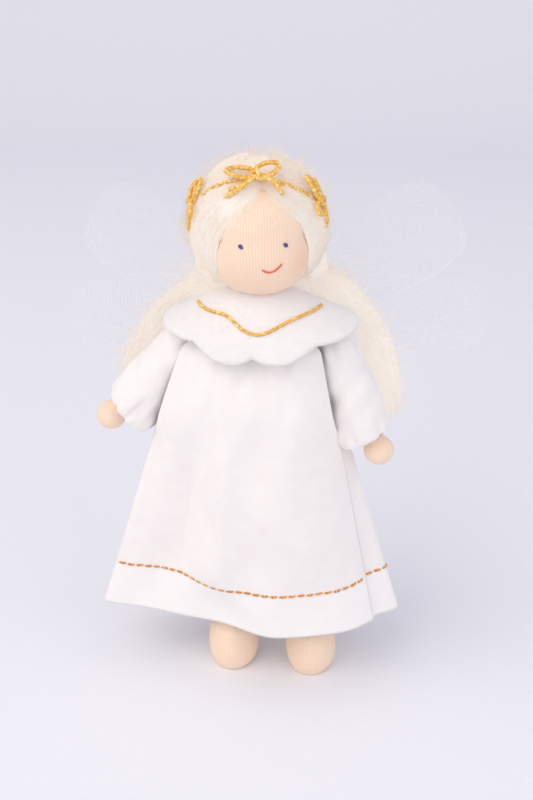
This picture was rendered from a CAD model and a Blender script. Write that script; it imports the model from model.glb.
"""A small cloth fairy doll: knitted body, wool hair, gold cord garland, cotton dress, felt collar, net wings.

Lengths are millimetres from the doll's own upright axis, x to its left, y to its back, z up from the soles.
"""
import bpy
import math
import numpy as np
from mathutils import Matrix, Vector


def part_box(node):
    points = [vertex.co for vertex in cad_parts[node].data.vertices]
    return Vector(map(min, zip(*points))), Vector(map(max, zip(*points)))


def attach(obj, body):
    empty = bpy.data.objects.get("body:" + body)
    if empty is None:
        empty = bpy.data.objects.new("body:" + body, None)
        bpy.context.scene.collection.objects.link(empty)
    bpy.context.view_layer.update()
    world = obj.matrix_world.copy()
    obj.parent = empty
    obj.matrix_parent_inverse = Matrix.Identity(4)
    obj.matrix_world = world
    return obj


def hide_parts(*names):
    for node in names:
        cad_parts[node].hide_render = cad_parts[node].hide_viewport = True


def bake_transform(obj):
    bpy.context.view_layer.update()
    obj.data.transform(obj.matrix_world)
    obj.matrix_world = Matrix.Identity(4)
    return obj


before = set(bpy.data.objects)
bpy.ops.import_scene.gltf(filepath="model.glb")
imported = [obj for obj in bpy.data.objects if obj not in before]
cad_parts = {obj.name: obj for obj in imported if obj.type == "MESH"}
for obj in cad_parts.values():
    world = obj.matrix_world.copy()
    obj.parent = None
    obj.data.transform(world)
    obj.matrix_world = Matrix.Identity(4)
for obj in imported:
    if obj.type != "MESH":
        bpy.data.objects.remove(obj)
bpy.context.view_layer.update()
neck_low, neck_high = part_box("neck_roll")
AXIS = np.array([0.0, (neck_low[1] + neck_high[1]) / 2, 0.0])
chance = np.random.default_rng(11)


# ---------------- sizes of the doll

SHOULDER_Z, HIP_Z = 103.5, 47.5
CHIN_Z, HEAD_Z, HEAD_H, HEAD_R, EYE_Z = 117.0, 132.25, 30.5, 13.6, 132.86
NECK_TOP, NECK_R, TORSO_TOP, TORSO_LOW = 118.3, 5.5, 114.0, 54.65
FACE_TURN = math.radians(13)
HAIR_R, HAIR_H, HAIR_LOW = 16.0, 17.65, 119.4
ARM_X, ARM_ANGLES = 17.5, {"right": 45, "left": 23.4}  # shoulder joints, and degrees of each arm from hanging
DRESS_TOP, DRESS_LOW, HEM_LINE = 110.5, 19.5, 0.84  # the hem is stitched at this part of the way down
COLLAR_R, COLLAR_TOP, FELT = 5.75, 117.3, 1.2
WING_Y, WING_Z = 21.5, 100.5
WALE, COURSE = 0.72, 0.55  # one upright rib of the knit, and one row of its stitches
WEAVE = 0.5  # threads of the cotton, as drawn
CORD, TWIST = 0.9, 2.1  # thickness of the gold cord, and length of one turn of its plies
UP = np.array([0, 0, 1.0])


# ---------------- shapes

def mix(a, b, t):
    return a + (b - a) * t


def ease(t):
    t = np.clip(t, 0, 1)
    return t * t * (3 - 2 * t)


def bump(t, at, wide):
    return np.exp(-((t - at) / wide) ** 2)


def unit(v):
    v = np.asarray(v, float)
    return v / np.maximum(np.linalg.norm(v, axis=-1, keepdims=True), 1e-9)


def through(knots, count):
    """A smooth run of points through the knots."""
    knots = np.asarray(knots, float)
    at = np.linspace(0, len(knots) - 1, count)
    i = np.minimum(at.astype(int), len(knots) - 2)
    f = (at - i)[:, None]
    slope = np.gradient(knots, axis=0)
    return (knots[i] * (1 + 2 * f) * (1 - f) ** 2 + slope[i] * f * (1 - f) ** 2
            + knots[i + 1] * f * f * (3 - 2 * f) + slope[i + 1] * f * f * (f - 1))


def waves(u, v, count, longest, shortest, seed):
    """Soft uneven creases: a sum of waves of many lengths and directions, about -1 to 1."""
    own = np.random.default_rng(seed)
    total = np.zeros_like(u)
    for _ in range(count):
        length = mix(longest, shortest, own.random())
        turn = own.random() * math.tau
        total += np.sin((u * math.cos(turn) + v * math.sin(turn)) * math.tau / length + own.random() * 7)
    return total / math.sqrt(count)


def around(count):
    """Angles once round a ring."""
    return np.linspace(0, math.tau, count, endpoint=False)


def lengths_along(path):
    """How far along a path each of its points lies."""
    return np.concatenate([[0], np.cumsum(np.linalg.norm(np.diff(path, axis=0), axis=1))])


def sample(at, length, values):
    """Points or directions at the given lengths along a path."""
    return np.stack([np.interp(at, length, values[:, k]) for k in range(3)], 1)


def weave_faces(rows, cols, closed):
    """Four-sided faces of a net of rows and columns: the (row, column) corners of each, and its points."""
    i, j = np.meshgrid(np.arange(rows - 1), np.arange(cols if closed else cols - 1), indexing="ij")
    corners = np.stack([np.stack(corner, -1) for corner in ((i, j), (i, j + 1), (i + 1, j + 1), (i + 1, j))],
                       2).reshape(-1, 4, 2)
    return corners, corners[..., 0] * cols + corners[..., 1] % cols


def spun(points, angle):
    """Points turned about the upright."""
    x, y, z = np.moveaxis(points, -1, 0)
    c, s = np.cos(angle), np.sin(angle)
    return np.stack([x * c - y * s, x * s + y * c, z], -1)


def placed(name, data):
    """A new object in the scene."""
    made = bpy.data.objects.new(name, data)
    bpy.context.scene.collection.objects.link(made)
    return made


def piece(name, points, faces, cloth_of, uv=None):
    """A mesh piece from points in millimetres about the doll's axis."""
    mesh = bpy.data.meshes.new(name)
    mesh.from_pydata((points * 0.001 + AXIS).tolist(), [], faces.tolist())
    mesh.polygons.foreach_set("use_smooth", [True] * len(mesh.polygons))
    if uv is not None:
        mesh.uv_layers.new(name="UVMap").data.foreach_set("uv", np.asarray(uv, np.float32).ravel())
    mesh.update()
    mesh.materials.append(cloth_of)
    return placed(name, mesh)


def lattice(name, grid, closed, cloth_of, across=1.0, along=1.0, flip=False):
    """A skin over a grid of points. Its map counts `across` round the rows and `along` down the columns."""
    rows, cols = grid.shape[:2]
    corners, faces = weave_faces(rows, cols, closed)
    if flip:
        corners, faces = corners[:, ::-1], faces[:, ::-1]
    span = cols if closed else cols - 1
    uv = np.stack([corners[..., 1] / span * across, corners[..., 0] / (rows - 1) * along], -1)
    return piece(name, grid.reshape(-1, 3), faces, cloth_of, uv)


def thicken(made, amount):
    """Gives a single skin of cloth its thickness in millimetres, inward."""
    solid = made.modifiers.new("cloth thickness", "SOLIDIFY")
    solid.thickness = amount * 0.001
    solid.offset = -1.0


def mark(made, name, values):
    """Gives each point of a piece a number that its finish reads."""
    store = made.data.attributes.new(name, "FLOAT", "POINT")
    store.data.foreach_set("value", values.ravel().astype(np.float32))


def settle(made, body, slot, *nodes):
    """Says which body a piece rides on, what it is made of and which solids it stands for."""
    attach(made, body)
    if nodes:
        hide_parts(*nodes)


def frames(paths, up):
    """Directions beside and above each point of each path."""
    ahead = unit(np.gradient(paths, axis=-2))
    beside = unit(np.cross(ahead, up))
    return beside, np.cross(beside, ahead)


def strands(paths, radius, up, sides=3):
    """Round threads along many paths at once: points and faces of their skins."""
    count, length = paths.shape[:2]
    beside, above = frames(paths, up)
    angle = around(sides)[:, None]
    radius = np.broadcast_to(radius, (count, length))[..., None, None]
    ring = paths[:, :, None] + radius * (np.cos(angle) * beside[:, :, None] + np.sin(angle) * above[:, :, None])
    faces = np.arange(count)[:, None, None] * length * sides + weave_faces(length, sides, True)[1]
    return ring.reshape(-1, 3), faces.reshape(-1, 4)


def plied(path, up, thick, pitch, plies=3, fine=7):
    """The plies of a twisted cord along a path, each a thread that winds round the others."""
    length = lengths_along(path)
    at = np.linspace(0, length[-1], max(6, int(length[-1] / pitch * 9)))
    even = sample(at, length, path)
    above = sample(at, length, np.broadcast_to(up, path.shape))
    beside, over = frames(even, above)
    ply = thick * 0.27
    runs = []
    for k in range(plies):
        turn = ((at / pitch + k / plies) * math.tau)[:, None]
        runs.append(even + ply * (np.cos(turn) * beside + np.sin(turn) * over))
    return strands(np.stack(runs), ply, above[None], fine)


def gathered(parts):
    """Joins the points and faces of several threads into one piece's worth."""
    starts = np.cumsum([0] + [len(points) for points, _ in parts])
    return (np.concatenate([points for points, _ in parts]),
            np.concatenate([faces + start for (_, faces), start in zip(parts, starts)]))


# ---------------- finishes

def shade(hex_code):
    """An sRGB hex colour as linear red, green, blue and full alpha."""
    parts = [int(hex_code[k:k + 2], 16) / 255 for k in (1, 3, 5)]
    return tuple(c / 12.92 if c <= 0.04045 else ((c + 0.055) / 1.055) ** 2.4 for c in parts) + (1.0,)


def join(tree, node, inputs):
    """Sets a node's inputs to numbers and hex colours, or links them to a socket or another node's first outcome."""
    for name, value in inputs.items():
        if isinstance(value, bpy.types.Node):
            value = value.outputs[0]
        if isinstance(value, bpy.types.NodeSocket):
            tree.links.new(value, node.inputs[name])
        else:
            node.inputs[name].default_value = shade(value) if isinstance(value, str) else value


def finish_of(name, look, *tints):
    """A new finish. Its look is handed a way to add nodes and the places on the piece, and returns the surface."""
    material = bpy.data.materials.new(name)
    material.use_nodes = True
    tree = material.node_tree

    def add(kind, inputs={}, **settings):
        """Adds a node with its settings, and sets or links its inputs."""
        made = tree.nodes.new("ShaderNode" + kind)
        for key, value in settings.items():
            setattr(made, key, value)
        join(tree, made, inputs)
        return made

    join(tree, tree.nodes["Principled BSDF"], look(add, add("TexCoord").outputs["Object"], *tints))
    return material


def cotton_stockinette(add, place):
    # Fine cotton tricot with its wales upright: soft round ribs of looped stitches, pale on the crowns and
    # warmer in the furrows, with a dry nap. One rib is 0.72 mm wide and one course 0.55 mm high.
    part = add("SeparateXYZ", {"Vector": add("UVMap")}).outputs
    rib = add("Math", {0: part["X"], 1: 0.5}, operation="PINGPONG")
    lean = add("Math", {0: part["Y"], 1: rib}, operation="ADD")
    loop = add("Math", {0: lean, 1: 0.5}, operation="PINGPONG")
    crown = add("Math", {0: loop, 1: 0.35, 2: rib}, operation="MULTIPLY_ADD")
    mottle = add("TexNoise", {"Vector": place, "Scale": 380.0, "Detail": 4.0})
    height = add("Math", {0: mottle, 1: 0.25, 2: crown}, operation="MULTIPLY_ADD")
    lift = add("Bump", {"Strength": 0.6, "Distance": 0.00016, "Height": height})
    depth = add("Math", {0: crown, 1: 1.5, 2: 0.12}, operation="MULTIPLY_ADD", use_clamp=True)
    knit = add("MixRGB", {"Fac": depth, "Color1": "#F6CFAF", "Color2": "#FFEBD5"})
    patch = add("Math", {0: mottle, 1: 0.5}, operation="MULTIPLY")
    warm = add("MixRGB", {"Fac": patch, "Color1": knit, "Color2": "#FBDABD"})
    blush = add("Attribute", attribute_name="blush").outputs["Fac"]
    cheek = add("MixRGB", {"Fac": blush, "Color1": warm, "Color2": "#F0A18A"})
    return {"Base Color": cheek, "Normal": lift, "Roughness": 0.88, "Specular IOR Level": 0.2, "Sheen Weight": 0.25}


def carded_wool(add, place, deep, glow):
    # Combed long-fibre wool left loose: cream, soft and dry, each lock a little lighter or warmer than the next.
    # A faint glow stands for the light that thick loose wool passes on from fibre to fibre.
    lock = add("Attribute", attribute_name="lock").outputs["Fac"]
    drift = add("TexNoise", {"Vector": place, "Scale": 120.0, "Detail": 3.0})
    part = add("Math", {0: drift, 1: 0.5, 2: lock}, operation="MULTIPLY_ADD", use_clamp=True)
    tone = add("MixRGB", {"Fac": part, "Color1": deep, "Color2": "#FFFDF8"})
    return {"Base Color": tone, "Roughness": 0.7, "Specular IOR Level": 0.25, "Sheen Weight": 0.5,
            "Sheen Roughness": 0.4, "Emission Color": "#FFF1DE", "Emission Strength": glow}


def cotton_lawn(add, place):
    # Bleached plain-weave cotton, washed and softly creased: matt white with a faint warm cast in its creases.
    # Its threads lie 0.25 mm apart and are drawn at 0.5 mm, because at 0.25 mm they wouldn't show.
    part = add("SeparateXYZ", {"Vector": add("UVMap")}).outputs
    warp = add("Math", {0: part["X"], 1: 0.5}, operation="PINGPONG")
    weft = add("Math", {0: part["Y"], 1: 0.5}, operation="PINGPONG")
    weave = add("Math", {0: warp, 1: weft}, operation="MAXIMUM")
    slub = add("TexNoise", {"Vector": place, "Scale": 220.0, "Detail": 5.0, "Roughness": 0.6})
    crease = add("TexNoise", {"Vector": place, "Scale": 70.0, "Detail": 3.0, "Distortion": 0.6})
    fine = add("Bump", {"Strength": 0.25, "Distance": 0.0001, "Height": weave})
    uneven = add("Bump", {"Strength": 0.3, "Distance": 0.0003, "Height": slub, "Normal": fine})
    soft = add("Bump", {"Strength": 0.3, "Distance": 0.0012, "Height": crease, "Normal": uneven})
    tone = add("MixRGB", {"Fac": slub, "Color1": "#F3EBE7", "Color2": "#FBF7F4"})
    doubled = add("Attribute", attribute_name="doubled").outputs["Fac"]
    white = add("MixRGB", {"Fac": doubled, "Color1": tone, "Color2": "#FFFCFA"})
    return {"Base Color": white, "Normal": soft, "Roughness": 0.82, "Specular IOR Level": 0.25, "Sheen Weight": 0.2}


def wool_felt(add, place):
    # Pressed wool felt: a thick matt white with no weave, only a tangle of short fibres about 0.4 mm across.
    tangle = add("TexNoise", {"Vector": place, "Scale": 1600.0, "Detail": 6.0, "Roughness": 0.7, "Distortion": 1.5})
    cloud = add("TexNoise", {"Vector": place, "Scale": 260.0, "Detail": 3.0})
    lift = add("Bump", {"Strength": 0.45, "Distance": 0.00025, "Height": tangle})
    soft = add("Bump", {"Strength": 0.25, "Distance": 0.0006, "Height": cloud, "Normal": lift})
    tone = add("MixRGB", {"Fac": cloud, "Color1": "#EDE8E6", "Color2": "#F6F2F0"})
    return {"Base Color": tone, "Normal": soft, "Roughness": 0.95, "Specular IOR Level": 0.15,
            "Sheen Weight": 0.35, "Sheen Roughness": 0.6}


def metallised_yarn(add, place, deep, body, glint):
    # Metallised yarn: a twisted thread wrapped in flat foil, whose fibres glint one by one, about 0.3 mm each.
    foil = add("TexNoise", {"Vector": place, "Scale": 1500.0, "Detail": 3.0, "Roughness": 0.7})
    low = add("MapRange", {"Value": foil, "From Min": 0.36, "From Max": 0.56})
    high = add("MapRange", {"Value": foil, "From Min": 0.54, "From Max": 0.66})
    tone = add("MixRGB", {"Fac": low, "Color1": deep, "Color2": body})
    bright = add("MixRGB", {"Fac": high, "Color1": tone, "Color2": glint})
    lift = add("Bump", {"Strength": 0.5, "Distance": 0.0002, "Height": foil})
    return {"Base Color": bright, "Normal": lift, "Metallic": 0.12, "Roughness": 0.4}


def spun_cotton(add, place, body, dark, roughness):
    # Spun thread: short twisted fibres about 0.15 mm apart that darken between the turns.
    fibre = add("TexNoise", {"Vector": place, "Scale": 3000.0, "Detail": 2.0})
    tone = add("MixRGB", {"Fac": fibre, "Color1": dark, "Color2": body})
    lift = add("Bump", {"Strength": 0.5, "Distance": 0.0001, "Height": fibre})
    return {"Base Color": tone, "Normal": lift, "Roughness": roughness, "Specular IOR Level": 0.3,
            "Sheen Weight": 0.2}


def tulle_net(add, place, alpha):
    # White bobbin net: fine twisted threads about 1.2 mm apart with clear cells, so it reads as a pale veil that
    # turns white where it doubles over itself.
    yarn = add("TexNoise", {"Vector": place, "Scale": 700.0, "Detail": 2.0})
    tone = add("MixRGB", {"Fac": yarn, "Color1": "#F1F0F6", "Color2": "#FFFFFF"})
    return {"Base Color": tone, "Alpha": alpha, "Roughness": 0.6, "Specular IOR Level": 0.3, "Sheen Weight": 0.3}


def pale_paper(add, place):
    # Matt uncoated paper with a fine tooth about 1 mm across.
    tooth = add("TexNoise", {"Vector": place, "Scale": 900.0, "Detail": 3.0})
    tone = add("MixRGB", {"Fac": tooth, "Color1": "#EDEDF4", "Color2": "#F4F3F8"})
    return {"Base Color": tone, "Roughness": 0.9, "Specular IOR Level": 0.1}


skin = finish_of("cotton stockinette", cotton_stockinette)
wool = finish_of("carded wool", carded_wool, "#F5E1C9", 0.06)
loose_wool = finish_of("carded wool, loose", carded_wool, "#F5E4D0", 0.19)
lawn = finish_of("cotton lawn", cotton_lawn)
felt = finish_of("wool felt", wool_felt)
gold = finish_of("gold metallised yarn", metallised_yarn, "#DC9F38", "#FACB62", "#FFF2C4")
copper = finish_of("copper metallised thread", metallised_yarn, "#C27A35", "#E9A85C", "#FBD9A3")
thread = finish_of("ecru sewing thread", spun_cotton, "#F1E3D0", "#CDB79C", 0.7)
elastic = finish_of("covered elastic", spun_cotton, "#F7F3EE", "#D9D2CB", 0.6)
blue = finish_of("blue stranded cotton", spun_cotton, "#5A67B4", "#39427F", 0.6)
red = finish_of("coral stranded cotton", spun_cotton, "#FA855F", "#DB5F3D", 0.6)
veil = finish_of("tulle", tulle_net, 0.07)
net = finish_of("tulle thread", tulle_net, 1.0)
paper = finish_of("pale paper", pale_paper)


# ---------------- head, face and body

FACING = np.array([0, -1.0, 0.05])  # up, for stitches on the face


def turned(points):
    """The head is turned a little to its left."""
    return spun(points, FACE_TURN)


def head_radius(z):
    w = 2 * (z - CHIN_Z) / HEAD_H - 1
    return HEAD_R * np.sqrt(np.maximum(0, 1 - np.abs(w) ** np.where(w < 0, 3.2, 2.3))) - 0.12 * bump(z, EYE_Z, 1.7)


def face_bulge(angle, z):
    """Full cheeks and a round forehead, with the eye line drawn in at the temples."""
    cheek = bump(angle, 0.65, 0.5) + bump(angle, -0.65, 0.5)
    temple = bump(angle, 0.98, 0.3) + bump(angle, -0.98, 0.3)
    return 0.3 * cheek * bump(z, EYE_Z - 6.5, 4.5) - 0.3 * temple * bump(z, EYE_Z - 0.3, 1.5)


def on_face(degrees, z, out):
    a = np.radians(degrees)
    r = head_radius(z) + face_bulge(a, z) + out
    return np.stack([r * np.sin(a), -r * np.cos(a), z + 0 * r], -1)


def make_head():
    z = CHIN_Z + HEAD_H * (0.5 - 0.5 * np.cos(np.linspace(0.08, 1, 64) * math.pi))
    z = np.concatenate([np.linspace(TORSO_TOP + 0.4, CHIN_Z - 0.4, 8), z[z > NECK_TOP - 0.4]])
    zz, aa = np.meshgrid(z, around(120), indexing="ij")
    front = np.where(aa > math.pi, aa - math.tau, aa)
    r = np.where(zz < CHIN_Z, NECK_R, np.maximum(head_radius(zz), 0.02) + face_bulge(front, zz))
    r = np.where((zz >= CHIN_Z) & (zz < CHIN_Z + 4), np.maximum(r, NECK_R), r)
    r += 0.22 * np.cos(15 * aa) * bump(zz, CHIN_Z + 0.5, 1.6)
    chin = 0.8 * bump(front, 0, 1.2) * ease((EYE_Z - 8 - zz) / 6) * ease((r - 6) / 2)
    grid = turned(np.stack([r * np.sin(aa), -r * np.cos(aa), zz - chin], -1))
    made = lattice("head", grid, True, skin, round(math.tau * HEAD_R / WALE), 43 / COURSE, flip=True)
    degrees = np.degrees(front)
    mark(made, "blush", (0.3 * bump(degrees, 43, 15) + 0.03 * bump(degrees, -34, 15)) * bump(zz, EYE_Z - 6, 4.4))
    settle(made, "head", "knit_skin", "head_skin", "head_core")


def make_face():
    for name, at in (("right_eye", -23.5), ("left_eye", 21.5)):
        # three short stitches side by side make each eye
        lines = []
        for k in range(3):
            off = (k - 1) * 1.35
            z = EYE_Z - 1.2 + np.linspace(0.5, -0.5, 7) * (1 - 0.3 * abs(k - 1))
            rise = 0.02 + 0.26 * np.sin(np.linspace(0, math.pi, 7))
            lines.append(turned(on_face(at + off + 0.6 * np.linspace(-1, 1, 7), z, rise)))
        made = piece(name + "_stitches", *strands(np.stack(lines), 0.17, FACING, 6), blue)
        settle(made, "head", "blue_thread", name)
    a = np.linspace(-2.5, 17, 26)
    z = EYE_Z - 7.5 + 0.013 * (a - 5) ** 2
    rise = 0.06 + 0.14 * np.abs(np.sin(np.linspace(0.1, math.tau - 0.1, 26)))
    made = piece("mouth_stitches", *plied(turned(on_face(a, z, rise)), FACING, 0.46, 1.3, 2), red)
    settle(made, "head", "red_thread", "mouth")


def make_torso():
    knots = [(11.0, TORSO_LOW), (12.4, TORSO_LOW + 1.4), (13, TORSO_LOW + 6), (12.8, TORSO_LOW + 16),
             (11.8, SHOULDER_Z - 18), (10.4, SHOULDER_Z - 7), (9.8, SHOULDER_Z), (8.6, SHOULDER_Z + 5.5),
             (7.2, SHOULDER_Z + 8.6), (5.8, TORSO_TOP)]
    rows = np.concatenate([[(0.05, TORSO_LOW), (6, TORSO_LOW)], through(knots, 60)])
    a = around(96)
    grid = np.stack([rows[:, :1] * np.sin(a), -rows[:, :1] * np.cos(a), rows[:, 1:] + 0 * a], -1)
    made = lattice("torso", grid, True, skin, 113, 62 / COURSE, flip=True)
    settle(made, "torso", "knit_skin", "torso_skin", "torso_stuffing")


def make_leg(side, name):
    # height, half width, half depth, and how far the foot reaches back
    knots = [(0.0, 5.4, 7.1, 0.8), (0.7, 6.3, 7.8, 0.8), (2.6, 7.0, 8.3, 0.7), (6, 7.3, 8.5, 0.6),
             (10, 7, 7.7, 0.4), (13.6, 6.3, 6.9, 0.1), (16, 5.3, 5.4, 0), (18.4, 6.1, 6.2, 0), (26, 6.7, 6.7, 0),
             (39.5, 6.8, 6.8, 0), (HIP_Z, 6.8, 6.8, 0), (50.05, 6.3, 6.3, 0), (52.2, 4.9, 4.9, 0),
             (53.7, 2.8, 2.8, 0)]
    rows = np.concatenate([[(0.0, 0.05, 0.05, 0.8), (0.0, 2.8, 3.8, 0.8)], through(knots, 92),
                           [(54.3, 0.05, 0.05, 0)]])
    z, wide, deep, back = rows.T[..., None]
    a = around(84)[None]
    tied = 0.055 * bump(z, 16, 2.0) * (0.5 + 0.5 * np.cos(13 * a + 0.7))
    pucker = 1 - tied + 0.012 * np.cos(5 * a) * bump(z, 9, 4)
    up = ease((z - 8) / 33.5)
    x = side * mix(11.5, 9.5, up) + mix(1.5, 0, up) + wide * pucker * np.sin(a)
    y = back - deep * pucker * np.cos(a)
    grid = np.stack([x, y, z + 0 * a], -1)
    made = lattice(name, grid, True, skin, round(math.tau * 6.9 / WALE), 66 / COURSE, flip=True)
    settle(made, name, "knit_skin", name + "_skin", name + "_stuffing")


def limb(side, degrees, s, r):
    """Points round an arm's line, from distances along it from the shoulder and radii."""
    tilt = math.radians(degrees)
    down = np.array([side * math.sin(tilt), 0, -math.cos(tilt)])
    out = np.array([side * math.cos(tilt), 0, math.sin(tilt)])
    back = np.array([0, 1.0, 0])
    a = around(r.shape[1])[None, :, None]
    middle = np.array([side * ARM_X, 0, SHOULDER_Z]) + s[..., None] * down
    return middle + r[..., None] * (np.cos(a) * out + np.sin(a) * back)


def make_arm(side, name):
    knots = [(-3.86, 0.3), (-3.2, 2.2), (-1.8, 3.45), (0, 3.9), (8, 3.85), (15.9, 3.7), (24.5, 3.0), (26.5, 2.7),
             (29.2, 2.4), (30.6, 2.9), (32.2, 3.75), (33.9, 4.0), (35.6, 3.4), (36.9, 2.1), (37.4, 0.5)]
    rows = np.concatenate([[(-3.9, 0.05)], through(knots, 78), [(37.5, 0.05)]])
    s, r = rows.T[..., None]
    a = around(56)[None]
    r = np.maximum(r * (1 - 0.09 * bump(s, 29.4, 1.1) * (0.5 + 0.5 * np.cos(9 * a))), 0.05)
    arm = name + "_arm"
    made = lattice(arm, limb(side, ARM_ANGLES[name], s, r), True, skin, 36, 42 / COURSE, flip=side > 0)
    settle(made, arm, "knit_skin", arm + "_skin", arm + "_stuffing")


# ---------------- dress and sleeves

def make_sleeve(side, name, sag, seed):
    # A straight tube of lawn 46 mm round and 32 mm long. It hangs in a bag below the arm, drawn up at the wrist.
    # Each row: distance down the arm, radius above it, radius below it, and how far the underside reaches past it.
    knots = [(-1.4, 4.9, 4.9, 0), (0.9, 5.9, 5.9, 0), (5, 6.2, 6.2 + 0.5 * sag, 0),
             (12, 6.3, 6.3 + 1.4 * sag, 0.3 * sag), (18.2, 6.2, 6.6 + 2.4 * sag, 0.8 * sag),
             (22.2, 6.0, 6.5 + 3.4 * sag, 1.6 * sag), (25.2, 5.6, 6.2 + 3.9 * sag, 2.4 * sag),
             (27.0, 5.2, 5.6 + 3.6 * sag, 2.6 * sag), (27.8, 4.6, 4.8 + 2.2 * sag, 1.6 * sag),
             (27.9, 4.0, 4.0 + 0.6 * sag, 0.5 * sag), (27.8, 3.4, 3.4, 0)]
    # the mouth is turned in onto the wrist
    rows = np.concatenate([through(knots, 95), [(27.0, 2.85, 2.85, 0)]])
    a = around(144)[None]
    under = 0.5 - 0.5 * np.cos(a)
    down, above, below, past = rows.T[..., None]
    s = down + past * under ** 2
    r = mix(above, below, under ** 1.5)
    # gathers run up from the wrist and down from the shoulder seam, and long soft folds lie between
    drawn = bump(s, 28, 4.5)
    turn = a + 0.25 * np.sin(2 * a + seed)
    r = r + drawn * (0.3 * np.cos(9 * turn) + 0.16 * np.cos(16 * turn + 2))
    r = r + 0.22 * bump(s, 1, 4) * np.cos(11 * a)
    r = r - 0.55 * bump(s, 21, 7) * bump(np.cos(turn - 1.2 - 0.04 * s), 1, 0.05)
    r = r - 0.9 * bump(s, 24, 5) * bump(np.cos(turn - 4.3), 1, 0.04)
    r = r + 0.35 * waves(s + 3 * np.cos(a), 6.3 * np.sin(a) + 0 * s, 9, 15, 5, seed) * bump(s, 14, 9)
    made = lattice(name + "_sleeve_lawn", limb(side, ARM_ANGLES[name], s, r), True, lawn, 46 / WEAVE, 32 / WEAVE,
                   flip=side > 0)
    thicken(made, 0.35)
    settle(made, name + "_arm", "white_cotton", name + "_sleeve")


def across_dress(u, t):
    """Place from its right seam to its left, which run from the neck over the shoulders out to the hem."""
    tip = 0.08  # where a seam leaves the shoulder
    down = np.maximum(t - tip, 0) / (1 - tip)
    right = np.where(t < tip, mix(9, 19, t / tip), mix(19, 47.5, down ** 0.95))
    left = np.where(t < tip, mix(9, 15.5, t / tip), mix(15.5, 31, down))
    return mix(-right, left, u)


def front_panel(u, t):
    """Front of the dress: u from its right seam to its left, t from the neck to the hem."""
    x = across_dress(u, t)
    edge = mix(-mix(6.7, 7.4, ease((t - 0.1) / 0.12)), -3.0, ease((t - 0.27) / 0.12))
    depth = mix(10.4, 16.5, 0.72 * ease(t / 0.25) + 0.28 * t) - 4.6 * ease((t - 0.45) / 0.55)
    crown = 1 - np.abs(2 * u - 1) ** np.where(u < 0.5, 3.2, 4.4)
    fold = ease((t - 0.2) / 0.8)
    ramp = ease((u - 0.25) / mix(0.2, 0.42, ease((t - 0.78) / 0.22)))
    step = mix(1, mix(0.12, 1, ramp), ease((t - 0.2) / 0.6))
    ripple = 0.7 * fold * np.sin(np.radians(900 * u)) * crown
    drawn = 0.25 * bump(t, 0.12, 0.1) * np.sin(np.radians(2520 * u)) * crown
    return np.stack([x, edge - (depth + edge) * crown * step + ripple + drawn,
                     mix(DRESS_TOP, DRESS_LOW, t) - 1.5 * fold * crown], -1)


def back_panel(u, t):
    """Back of the dress, the same way round as the front."""
    side = ease((u - 0.78) / 0.14) * (1 - ease((u - 0.93) / 0.07))
    x = across_dress(u, t) + 12 * t * side
    start = mix(mix(6.4, 7.5, ease((t - 0.08) / 0.08)), -3.95, ease((t - 0.27) / 0.12))
    crown = 1 - np.abs(2 * u - 1) ** 3.2
    fold = ease((t - 0.2) / 0.8)
    depth = mix(10.4, 15, 0.8 * ease(t / 0.25) + 0.2 * t)
    ripple = 0.8 * fold * np.sin(np.radians(1260 * u + 60)) * crown
    return np.stack([x, start + (depth - start) * crown + ripple + 0.9,
                     mix(DRESS_TOP, DRESS_LOW, t) - 1.55 * (1 - t) - 1.5 * fold * crown], -1)


def creased(panel, u, t, outward, seed):
    """A panel with the soft creases of washed cotton, which fade at the seams and toward the hem stitching."""
    grid = panel(u, t)
    crown = np.clip(1 - np.abs(2 * u - 1) ** 3.2, 0, 1)
    crease = waves(grid[..., 0] * (1 - 0.45 * t), 0.28 * grid[..., 2], 11, 22, 7, seed) * ease((t - 0.06) / 0.2)
    small = waves(grid[..., 0], grid[..., 2] * 0.5, 9, 9, 4, seed + 1) * bump(t, 0.08, 0.13)
    grid[..., 1] += outward * crown * (0.6 * crease + 0.32 * small + 0.1)
    return grid


def make_panel(name, panel, outward, seed, top):
    u, t = np.meshgrid(np.linspace(0, 1, 181), np.linspace(top, 1, 121))
    grid = creased(panel, u, t, outward, seed)
    made = lattice(name, grid, False, lawn, 82 / WEAVE, 92 / WEAVE, flip=outward > 0)
    # the hem is turned up and doubled below the stitching
    mark(made, "doubled", 0.4 * ease((t - HEM_LINE) / 0.012))
    thicken(made, 0.4)
    return made


def hem_run(panel, outward, seed, count):
    """Backstitches nearly end to end, each a short twisted thread that dips into the cloth at both ends."""
    fine = np.linspace(0.01, 0.99, 900)
    line = creased(panel, fine, np.full_like(fine, HEM_LINE), outward, seed)
    length = lengths_along(line)
    outer = unit(np.cross(np.gradient(line, axis=0), UP))
    outer *= np.sign(outer[450, 1] * outward)
    pitch = length[-1] / count
    runs = []
    for k in range(count):
        at = np.linspace(k * pitch + 0.18, (k + 1) * pitch - 0.14 - 0.25 * chance.random(), 14)
        arch = np.sin(np.linspace(0, math.pi, 14)) ** 0.5
        face = unit(sample(at, length, outer))
        path = sample(at, length, line) + face * (-0.1 + 0.5 * arch[:, None])
        path[:, 2] += np.linspace(-0.12, 0.12, 14) + 0.15 * (chance.random() - 0.5)
        runs.append(plied(path, face, 0.92, 1.5, 2, 6))
    return gathered(runs)


def between_panels(edge, top, low, count):
    """A strip from front to back at one seam: its fullness, 1 half way across, its t, and its points."""
    v, t = np.meshgrid(np.linspace(0, 1, 25), np.linspace(top, low, count))
    return 4 * v * (1 - v), t, mix(front_panel(edge + 0 * t, t), back_panel(edge + 0 * t, t), v[..., None])


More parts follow.
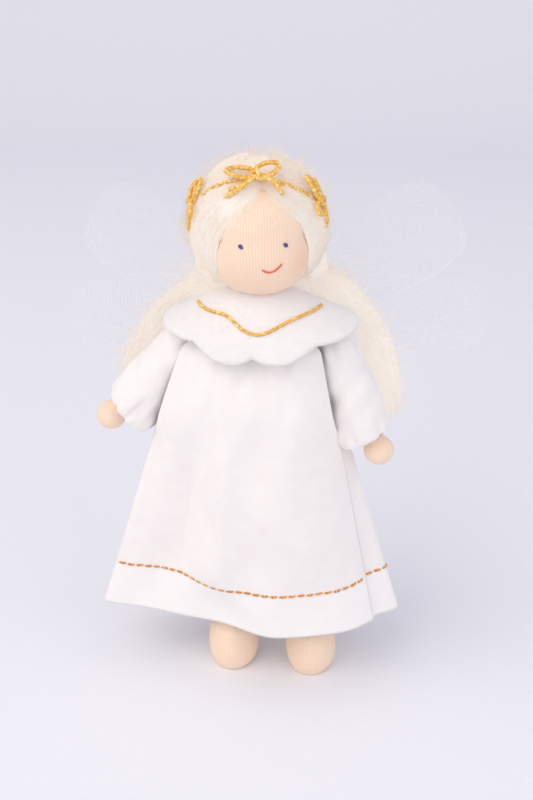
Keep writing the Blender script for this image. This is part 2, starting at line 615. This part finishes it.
def make_dress():
    front = make_panel("dress_front_panel", front_panel, -1, 21, 0)
    back = make_panel("dress_back_panel", back_panel, 1, 33, -0.03)
    shoulders, underarms, sides = [], [], (("right", 0.0, -1), ("left", 1.0, 1))
    # the two panels are joined over each shoulder, above the sleeve
    for name, edge, side in sides:
        v, t, grid = between_panels(edge, 0, 0.045, 10)
        grid[..., 2] += mix(1.2, 4.2, t / 0.045) * v
        shoulders.append(lattice(name + "_shoulder_seam", grid, False, lawn, 30, 8, flip=side < 0))
    # and below it, where the cloth is pressed in between the arm and the body
    for name, edge, side in sides:
        v, t, grid = between_panels(edge, 0.135, 0.4, 24)
        spare = np.maximum(np.abs(grid[..., 0]) - 12.9, 0)
        grid[..., 0] -= side * spare * v ** 0.6 * (1 - ease((t - 0.27) / 0.12))
        underarms.append(lattice(name + "_underarm", grid, False, lawn, 30, 48, flip=side < 0))
    for made in shoulders + underarms:
        settle(made, "torso", "white_cotton")
    stitches = gathered([hem_run(front_panel, -1, 21, 30), hem_run(back_panel, 1, 33, 31)])
    hem = piece("hem_backstitches", *stitches, copper)
    for made, slot, node in ((front, "white_cotton", "dress_front"), (back, "white_cotton", "dress_back"),
                             (hem, "copper_thread", "hem_stitches")):
        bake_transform(made)
        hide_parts(node)


# ---------------- collar

def collar_point(a, q, over, scallop=1.5):
    """A point of the collar: a round from the doll's left, q from the neck edge to the scalloped edge."""
    front = np.sin(a) < 0
    reach = 1 / np.sqrt((np.cos(a) / 25) ** 2 + (np.sin(a) / np.where(front, 17.5, 12.5)) ** 2)
    drop = mix(8.8, np.where(front, 15.2, 7), np.abs(np.sin(a)) ** 1.6)
    r = mix(COLLAR_R, reach - scallop * (1 - np.abs(np.sin(7 * (a + math.pi / 2) / 2))), q)
    slope = (r - COLLAR_R) / (reach - COLLAR_R)
    return np.stack([r * np.cos(a), r * np.sin(a),
                     COLLAR_TOP - drop * slope ** mix(0.9, 1.1, np.maximum(0, -np.sin(a))) + over], -1)


def make_collar():
    # over the top, round the cut edge and back underneath
    q = np.concatenate([np.linspace(0, 0.97, 26), [0.99, 1.0, 1.0, 0.99], np.linspace(0.97, 0, 26)])
    lift = np.concatenate([np.full(26, FELT), [1.1, 0.85, 0.35, 0.1], np.zeros(26)])
    aa, qq = np.meshgrid(around(288), q)
    soft = 0.22 * np.sin(5 * aa + 1) * qq ** 2 + 0.12 * np.sin(13 * aa) * qq ** 3
    grid = collar_point(aa, qq, lift[:, None] + np.maximum(soft, -0.02))
    made = lattice("felt_collar", grid, True, felt)
    # short loose fibres stand off the face and the cut edge
    count = 1500
    fa = chance.random(count) * math.tau
    fq = np.where(chance.random(count) < 0.55, 1.0, chance.random(count) ** 0.6)
    root = collar_point(fa, fq, np.where(fq < 1, FELT - 0.02, chance.random(count) * FELT))
    away = np.stack([np.cos(fa), np.sin(fa), np.where(fq < 1, 1.5, 0.1)], -1)
    away = unit(away + 0.8 * chance.normal(size=(count, 3)))
    curl = chance.normal(size=(count, 3)) * 0.5
    t = np.linspace(0, 1, 5)[None, :, None]
    size = (0.3 + 0.5 * chance.random(count))[:, None, None]
    fibres = root[:, None] + (away[:, None] * t + curl[:, None] * t * t) * size
    fuzz = piece("felt_fuzz", *strands(fibres, 0.022, np.array([0.3, 0.5, 0.8])), felt)
    settle(made, "torso", "white_felt", "collar")
    settle(fuzz, "torso", "white_felt")


def make_collar_line():
    d = np.linspace(-172, -8, 240)
    q = 0.5 + 0.13 * bump(d, -86, 26) - 0.06 * bump(d, -128, 18) + 0.02 * (np.abs(d + 90) / 82) ** 2
    path = collar_point(np.radians(d), q, FELT + 0.38, 0)
    made = piece("collar_stitched_cord", *plied(path, UP, 0.85, 1.8), gold)
    settle(made, "torso", "gold_cord", "collar_gold_line")


# ---------------- hair

COMBED, HANGING = np.array([0.2, 0.3, 0.9]), np.array([0.25, 0.95, 0.2])  # up, for threads of the skull and falls


def let_light_through(*fibres):
    """Loose fibres scatter light on to each other and the wool below rather than shade it."""
    for each in fibres:
        each.visible_shadow = False
        each.visible_diffuse = False


def combed(name, paths, taper, up, wool_of, draw):
    """Locks of wool along many paths, each a little lighter or warmer than the next."""
    made = piece(name, *strands(paths, taper, up), wool_of)
    mark(made, "lock", np.repeat(draw.random(len(paths)) * 0.7 - 0.1, paths.shape[1] * 3))
    return made


def hair_skin(direction, out):
    """A point on the dressed hair of the skull, in a direction from the middle of the head."""
    d = unit(direction)
    flat = np.hypot(d[..., 0], d[..., 1])
    reach = 1 / np.sqrt((flat / HAIR_R) ** 2 + (d[..., 2] / HAIR_H) ** 2)
    return np.array([0, 0, HEAD_Z]) + d * (reach + out)[..., None]


def low_way(side, azimuth, rise):
    """Direction from the middle of the head to a place round from the face, on one side."""
    return np.stack([side * np.sin(azimuth) * np.cos(rise), -np.cos(azimuth) * np.cos(rise), np.sin(rise)], -1)


def face_edge(z):
    """Half width of the opening that the hair leaves for the face."""
    knots = [(HAIR_LOW - 3, 10.6), (EYE_Z - 4, 11.0), (EYE_Z + 1.4, 9.6), (EYE_Z + 5.5, 7.6), (EYE_Z + 8.4, 4.9),
             (EYE_Z + 10.4, 1.8), (EYE_Z + 11.2, 0.0)]
    return np.interp(z, *zip(*knots))


def make_hair_cap():
    sunk = 0.55  # the locks stand this much above the bed
    z = mix(HAIR_LOW, HEAD_Z + HAIR_H - sunk, np.sin(np.linspace(0, math.pi / 2, 56)))
    zz, cc = np.meshgrid(z, np.linspace(0, 1, 97), indexing="ij")
    shell = (HAIR_R - sunk) * np.sqrt(np.maximum(0, 1 - ((zz - HEAD_Z) / (HAIR_H - sunk)) ** 2))
    near = head_radius(zz) + 0.25
    gap = np.arcsin(np.clip(face_edge(zz) / np.maximum(near, 0.5), -1, 1))
    a = gap + cc * (math.tau - 2 * gap)
    rim = ease(np.minimum(cc, 1 - cc) / 0.07)
    under = zz < CHIN_Z + HEAD_H - 1.5
    r = np.where(under, mix(np.minimum(near, shell), shell, rim), shell)
    grid = turned(np.stack([r * np.sin(a), -r * np.cos(a), zz], -1))
    made = lattice("hair_bed", grid, False, wool)
    tuck = lattice("hair_lining", np.stack([grid[0] * (0.72, 0.72, 1) + (0, 0, 0.6), grid[0]]), False, wool)

    # combed locks leave the middle parting and sweep round the head to the nape
    count, steps = 3600, 11
    f = chance.random(count)
    side = np.where(chance.random(count) < 0.5, -1.0, 1.0)
    rise = np.radians(mix(45, 155, f) + chance.normal(size=count) * 2)
    start = unit(np.stack([0.03 * side, -np.cos(rise), np.sin(rise)], -1))
    azimuth = np.radians(mix(60, 178, f ** 0.85) + chance.normal(size=count) * 3)
    end = unit(low_way(side, azimuth, np.radians(-40 - 14 * chance.random(count))))
    arc = np.arccos(np.clip((start * end).sum(-1), -0.99, 0.999))[:, None]
    t = np.linspace(0, 1, steps)[None]
    span = mix(0.0, 0.55, chance.random(count))[:, None]
    t = mix(span * chance.random(count)[:, None], 1 - span * 0.6, t)
    way = np.sin((1 - t) * arc)[..., None] * start[:, None] + np.sin(t * arc)[..., None] * end[:, None]
    way = unit(way / np.sin(arc)[..., None])
    swing = np.radians(15) * np.sin(math.pi * t) * (1 - ease(f / 0.55))[:, None] * side[:, None]
    way = spun(way, swing)
    inward = mix(1.2, -0.3, ease((f - 0.05) / 0.2))[:, None]
    puff = 0.5 * np.sin(math.pi * np.clip(t, 0, 1)) ** 0.5 - 0.9 * bump(t, 0, 0.06)
    puff = puff - inward * ease((t - 0.75) / 0.25)
    depth = (chance.random(count) ** 2 * -0.8)[:, None]
    phase = chance.random((count, 1)) * 7
    curl = 0.45 * np.sin(t * 13 + phase) + 0.3 * np.sin(t * 29 + 2 * phase)
    paths = hair_skin(way, puff + depth + 0.6 * curl)
    paths += 0.35 * np.stack([np.sin(t * 19 + 5 * phase), np.sin(t * 23 + 3 * phase), np.sin(t * 17 + 3 * phase)], -1)
    taper = 0.065 * np.sqrt(np.clip(np.minimum(np.linspace(0.25, 4, steps), np.linspace(4, 0.15, steps)), 0, 1))
    locks = combed("hair_locks", turned(paths), taper, COMBED, wool, chance)

    # fine loose fibres make the halo
    count, steps = 4200, 8
    way = chance.normal(size=(count, 3))
    way[:, 2] = np.abs(way[:, 2]) * 0.9 - 0.35
    way[(way[:, 1] < 0) & (way[:, 2] < 0.75), 1] *= -1
    root = hair_skin(way, np.full(count, -0.2))
    drift = unit(np.cross(unit(way), chance.normal(size=(count, 3))))
    t = np.linspace(0, 1, steps)[None, :, None]
    size = (1.2 + 4.2 * chance.random(count) ** 2)[:, None, None]
    curl = 0.18 * np.sin(7 * t + chance.random((count, 1, 1)) * 7)
    flight = root[:, None] + size * (t * 0.75 * unit(way)[:, None] + drift[:, None] * (0.9 * t - 0.5 * t ** 3) + curl)
    halo = piece("hair_halo", *strands(turned(flight), 0.028, COMBED), wool)
    settle(made, "head", "wool_hair", "hair_cap")
    for each in (tuck, locks, halo):
        settle(each, "head", "wool_hair")
    let_light_through(locks, halo)


def make_hair_fall(side, name, spread, low, seed):
    own = np.random.default_rng(seed)
    # height, distance from the axis to the side and to the back, half width, half depth
    knots = [(HAIR_LOW + 5, 10.4, 6.4, 3.4, 3.2), (HAIR_LOW + 2, 10.6, 7.6, 4.2, 3.2),
             (HAIR_LOW - 0.4, 10.8, 8.8, 4.8, 3), (HAIR_LOW - 1.8, 11.4, 10.4, 5.6, 3.2),
             (115, 12.6, 12.2, 6.6, 3.4), (111, 15.5 + spread / 2, 13.6, 7.4, 3.2),
             (105.5, 19.4 + spread, 14, 7.6, 3), (97.5, 24 + 1.3 * spread, 13.6, 7, 2.6),
             (mix(97.5, low, 0.6), 28.4 + 1.5 * spread, 13.2, 5.4, 2.2), (low, 32 + 1.2 * spread, 12.8, 2, 1)]
    rows = through(knots, 60)
    a = around(48)[None]
    height, beside, behind, broad, thick = rows.T[..., None]
    full = 0.8 + 0.07 * waves(9 * np.cos(a) + 0 * height, height * 0.5 + 9 * np.sin(a), 8, 9, 3, seed)
    x = side * beside + full * broad * np.cos(a)
    y = behind + full * thick * np.sin(a)
    bed = lattice(name + "_bed", np.stack([x, y, height + 0 * a], -1), True, loose_wool, flip=True)

    def along(t):
        return [np.interp(t, np.linspace(0, 1, 60), column) for column in rows.T]

    # locks leave the skull from beside the cheek round to the nape and spread over the shoulder
    count, steps = 2400, 15
    swing = own.random(count)
    wide = own.uniform(-1, 1, count) * (0.8 + 0.4 * own.random(count))
    deep = np.sqrt(np.maximum(0.05, 1.15 - 0.6 * wide ** 2)) * np.sign(swing - 0.45 + 0.3 * own.normal(size=count))
    deep *= 0.7 + 0.75 * own.random(count)
    first = np.where(own.random(count) < 0.6, 0, own.random(count) * 0.5)
    last = 1.0 - 0.4 * own.random(count) ** 1.5
    t = first[:, None] + (last - first)[:, None] * np.linspace(0, 1, steps)
    height, beside, behind, broad, thick = along(t)
    phase = own.random((count, 1)) * 7
    beat = 9 + 14 * own.random((count, 1))
    frizz = np.stack([0.75 * np.sin(t * beat + phase) + 0.3 * np.sin(t * 37 + 3 * phase),
                      0.5 * np.sin(t * beat * 1.2 + 2 * phase),
                      0.8 * np.sin(t * beat * 0.8 + 4 * phase) + 0.25 * np.sin(t * 41 + phase)], -1)
    paths = np.stack([side * beside + wide[:, None] * broad * (1 + 0.22 * t), behind + deep[:, None] * thick,
                      height - 1.5 * np.abs(wide)[:, None] * t], -1)
    paths += frizz * (0.3 + 1.3 * t)[..., None]
    azimuth = np.radians(mix(66, 172, swing))
    way = low_way(side, azimuth, np.radians(-12 - 26 * own.random(count)))
    crown = turned(hair_skin(way, own.random(count) * 0.8 - 0.4))
    leave = (1 - ease(t / 0.34)) * (first == 0)[:, None]
    paths += (crown - paths[:, 0])[:, None] * leave[..., None]
    taper = 0.065 * np.sqrt(np.clip(np.linspace(5, 0.1, steps), 0, 1))
    locks = combed(name + "_locks", paths, taper, HANGING, loose_wool, own)

    # short curled fibres make the soft outline
    count, steps = 2300, 12
    t = own.random(count) * 0.85 + 0.15
    height, beside, behind, broad, thick = along(t)
    wide = own.uniform(-1.1, 1.1, count)
    root = np.stack([side * beside + wide * broad, behind + own.choice([-1, 1], count) * thick * 0.8, height], -1)
    away = np.stack([side * (0.5 + 0.5 * own.random(count)) + 0.5 * wide, 0.35 * own.normal(size=count),
                     -0.7 * own.random(count) + 0.2], -1)
    bend = own.normal(size=(count, 3)) * 0.7
    s = np.linspace(0, 1, steps)[None, :, None]
    size = (1.6 + 3.6 * own.random(count) ** 2)[:, None, None]
    twist = own.random((count, 1, 3)) * 7
    curl = 0.16 * (np.sin(9 * s + twist) - np.sin(twist))
    flight = root[:, None] + size * (away[:, None] * s + bend[:, None] * s * s + curl)
    wisps = piece(name + "_wisps", *strands(flight, 0.026, HANGING), loose_wool)
    for each in (bed, locks, wisps):
        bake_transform(each)
    let_light_through(bed, locks, wisps)
    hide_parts(name)


# ---------------- garland

BAND_FRONT = unit([-1.4, -9.2, 13.4])
BAND_SQUARE = unit([0.15, 0.8, 0.6])
BAND_SIDE = np.cross(BAND_SQUARE, BAND_FRONT)
BAND_STEPS = 56


def band_way(k):
    """Direction of the garland at step k round the head, from its front bow."""
    b = np.asarray(k, float)[..., None] * math.tau / BAND_STEPS
    return unit(np.cos(b) * BAND_FRONT + np.sin(b) * BAND_SIDE + 0.1 * (1 - np.cos(b)) ** 2 * BAND_SQUARE)


def make_garland():
    way = band_way(np.linspace(0, BAND_STEPS, 400))
    path = hair_skin(way, np.full(400, 0.6))
    made = piece("garland_cord", *plied(turned(path), turned(way), CORD, TWIST), gold)
    settle(made, "head", "gold_cord", "garland_band")


def make_bow(name, k, loops, tails):
    """Loops are (angle, length, width), tails (angle, length), flat on the hair, angles from the right, upward."""
    n = band_way(k)
    up = unit(UP - n[2] * n)
    right = np.cross(up, n)
    runs, far = [], 17.5  # about as far out as the hair

    def lay(angle, along, beside, out):
        c, s = math.cos(math.radians(angle)), math.sin(math.radians(angle))
        x, y = along * c - beside * s, along * s + beside * c
        way = unit(n * far + x[:, None] * right + y[:, None] * up)
        runs.append(plied(turned(hair_skin(way, out)), turned(way), 1.22 * CORD, TWIST, 4))

    for angle, length, width in loops:
        b = np.linspace(0.02, 0.98, 40) * math.tau
        lay(angle, length * (1 - np.cos(b)) / 2, width / 2 * np.sin(b) * (1 + 0.25 * np.cos(b)),
            1.35 + 0.9 * np.sin(b / 2) + 0.35 * np.sin(b))
    for angle, length in tails:
        b = np.linspace(0, 1, 26)
        lay(angle, length * b, 0.9 * np.sin(b * math.pi), 1.7 - 0.9 * b)
    # the knot
    b = np.linspace(-2.4, 2.4, 30)
    lay(0, 0.75 * np.sin(b), 0.855 * np.cos(b), 1.3 + np.cos(b * 0.6))
    made = piece(name + "_cord", *gathered(runs), gold)
    settle(made, "head", "gold_cord", name)


# ---------------- wings

def make_wing_gather():
    """The middle of the tulle, drawn up into upright pleats and sewn to the dress by a short stalk of itself."""
    a = around(128)[None]
    c, s = np.cos(a), np.sin(a)
    z = np.linspace(-5.2, 5.2, 30)[:, None]
    pleat = 1.04 + (0.05 + 0.07 * (z / 5) ** 2) * np.cos(16 * a + 0.2 * z) + 0.06 * np.sin(5 * a + z)
    x = 3.0 * np.sign(c) * np.abs(c) ** 0.55 * pleat
    y = WING_Y + 1.8 * np.sign(s) * np.abs(s) ** 0.55 * pleat
    grid = np.stack([x, y, WING_Z + z + 0.25 * np.sin(16 * a) * (z / 5)], -1)
    bundle = lattice("wing_pleats", grid, True, net, flip=True)
    along = np.linspace(12.6, 20.6, 16)[:, None]
    r = 2.65 + 0.16 * np.cos(13 * a) - 0.35 * bump(along, 16.3, 1.2)
    stalk = lattice("wing_stalk", np.stack([r * c, along + 0 * a, WING_Z + r * s], -1), True, net)
    settle(bundle, "torso", "tulle", "wing_gather")
    settle(stalk, "torso", "tulle")


def make_wing(side, name, upper, lower):
    root = np.array([side * 2.6, WING_Y, WING_Z])
    sweep = math.radians(4)
    out = np.array([side * math.cos(sweep), math.sin(sweep), 0])
    back = np.cross(out, UP) * side

    def lay(reach, b, angle, length, spread, layer):
        """A point of a lobe of the flat net: reach out along it, b from edge to edge, drawn together at the root."""
        turn = math.radians(angle) + math.radians(spread / 2) * b
        pleat = 0.6 * np.sin(b * 26 + layer) * (1 - ease(reach / (0.7 * length))) * ease(reach / 6)
        billow = 1.2 * np.sin(b * 2.1 + angle * 0.07) * np.sin(reach / length * 2.6) + pleat
        return (root + (reach * np.cos(turn))[..., None] * out + (reach * np.sin(turn))[..., None] * UP
                + (billow * 0.7 + layer)[..., None] * back)

    def rim(b):
        return 1 - 0.56 * b ** 4

    sheets, threads = [], []
    for angle, length, spread, layer in ((upper, 55, 44, 0.25), (lower, 56, 36, -0.25)):
        a, b = np.meshgrid(np.linspace(0.3, length, 70), np.linspace(-1, 1, 41), indexing="ij")
        grid = lay(a * rim(b), b, angle, length, spread, layer)
        sheets.append((grid.reshape(-1, 3), weave_faces(70, 41, False)[1]))
        # a six-sided net, its cells 1.25 mm across where the lobe is widest
        e, wide = 0.72, 17.0
        i, j = np.meshgrid(np.arange(-60, 90), np.arange(-20, 90), indexing="ij")
        a0, b0 = (1.5 * e * j).ravel(), (math.sqrt(3) * e * (i + j / 2)).ravel()
        for da, db in ((e, 0.0), (-e / 2, math.sqrt(3) / 2 * e), (-e / 2, -math.sqrt(3) / 2 * e)):
            keep = (a0 > 1) & (np.abs(b0) < wide) & (np.abs(b0 + db) < wide) & (a0 + da > 0.5)
            keep &= (a0 < length * rim(b0 / wide)) & (a0 + da < length * rim((b0 + db) / wide))
            ends = np.array([[0, 1]])
            pa, pb = a0[keep][:, None] + da * ends, (b0[keep][:, None] + db * ends) / wide
            threads.append(strands(lay(pa, pb, angle, length, spread, layer), 0.045, back))
        # the lower edge is turned back on itself
        b = np.linspace(-1, -0.25, 70)
        for inset in (0.995, 0.975):
            edge = lay(inset * length * rim(b), b, angle, length, spread, layer + 0.1)
            threads.append(strands(edge[None], 0.06, back, 4))
    sheet = piece(name + "_tulle", *gathered(sheets), veil)
    mesh_of = piece(name + "_net", *gathered(threads), net)
    # the root is rolled up and stands in the gather
    a, z = around(20)[None], np.linspace(-4.8, 4.8, 14)[:, None]
    r = 1.2 + 0.22 * np.cos(7 * a + 0.4 * z)
    stem = root + np.stack([r * np.cos(a), r * np.sin(a), z + 0 * r], -1)
    rolled = lattice(name + "_root", stem, True, net, flip=True)
    settle(sheet, name, "tulle", name)
    for each in (mesh_of, rolled):
        settle(each, name, "tulle")
    let_light_through(sheet, mesh_of)


# ---------------- making

def make_doll():
    make_head()
    make_face()
    make_torso()
    for side, name, sag, seed in ((-1, "right", 1, 4), (1, "left", 0.8, 6)):
        make_leg(side, name + "_leg")
        make_arm(side, name)
        make_sleeve(side, name, sag, seed)
    make_dress()
    make_collar()
    make_collar_line()
    make_hair_cap()
    make_hair_fall(-1, "right_hair_fall", 3, 87.5, 41)
    make_hair_fall(1, "left_hair_fall", 0, 78.5, 42)
    make_garland()
    make_bow("front_bow", 0, [(162, 7, 2.9), (32, 6, 2.8)], [(208, 8.6), (200, 6.6), (-26, 7.6), (-16, 6)])
    make_bow("right_bow", 46, [(78, 6.6, 2.8), (-14, 5, 3), (96, 5.2, 2)], [(-94, 7), (-112, 5)])
    make_bow("left_bow", 9, [(104, 7, 2.8), (206, 4.2, 2.4), (86, 5.4, 2)], [(-80, 6.6), (-64, 4.6)])
    make_wing_gather()
    make_wing(-1, "right_wing", 33, -2)
    make_wing(1, "left_wing", 35, 2)


def dress_cad_threads():
    """Threads and elastics that the frame already draws well keep their shape and get their finish."""
    for name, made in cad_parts.items():
        for ending, look in (("_thread", thread), ("_elastic", elastic), ("neck_roll", wool)):
            if name.endswith(ending):
                for slot in made.material_slots:
                    slot.material = look


def studio():
    """A pale paper sweep, one broad soft lamp from the upper left, a weaker one from the right, and a white room."""
    bend = np.linspace(0, math.pi / 2, 24)
    curve = np.stack([700 + 400 * np.sin(bend), 400 - 400 * np.cos(bend)], 1)
    side = np.concatenate([[[-1600, 0]], curve, [[1100, 2200]]])
    x = np.linspace(-2200, 2200, 3)[None] + 0 * side[:, :1]
    grid = np.stack([x, side[:, :1] + 0 * x, side[:, 1:] + 0 * x], -1)
    lattice("paper_sweep", grid, False, paper)

    for name, spot, size, power, tint in (("key softbox", (-0.62, -0.62, 0.95), 1.25, 8.6, "#FFF8F0"),
                                          ("fill softbox", (0.85, -0.55, 0.55), 1.1, 3.3, "#F8F7FC")):
        lamp = bpy.data.lights.new(name, "AREA")
        lamp.size = size
        lamp.energy = power
        lamp.color = shade(tint)[:3]
        made = placed(name, lamp)
        x, y, z = made.location = spot
        made.rotation_euler = (math.atan2(math.hypot(x, y), z - 0.08), 0, math.atan2(-y, -x) - math.pi / 2)
    room = bpy.data.worlds.new("white room")
    room.use_nodes = True
    join(room.node_tree, room.node_tree.nodes["Background"], {"Color": "#F2F4FC", "Strength": 0.64})
    bpy.context.scene.world = room
    bpy.context.scene.view_settings.view_transform = "Standard"


def camera():
    """From a little above and to the doll's left, as close as the photograph was taken."""
    turn, pitch, aside, roll = np.radians((8, 26, 0.26, -1))
    away, height = 0.236, 0.201
    view = bpy.data.cameras.new("view")
    view.lens = 45
    view.sensor_width = 36
    view.clip_start = 0.01
    made = placed("view", view)
    place = Matrix.Translation((away * math.sin(turn), -away * math.cos(turn) + AXIS[1], height))
    made.matrix_world = (place @ Matrix.Rotation(turn - aside, 4, "Z")
                         @ Matrix.Rotation(math.pi / 2 - pitch, 4, "X") @ Matrix.Rotation(roll, 4, "Z"))
    bpy.context.scene.camera = made


camera()
studio()
make_doll()
dress_cad_threads()
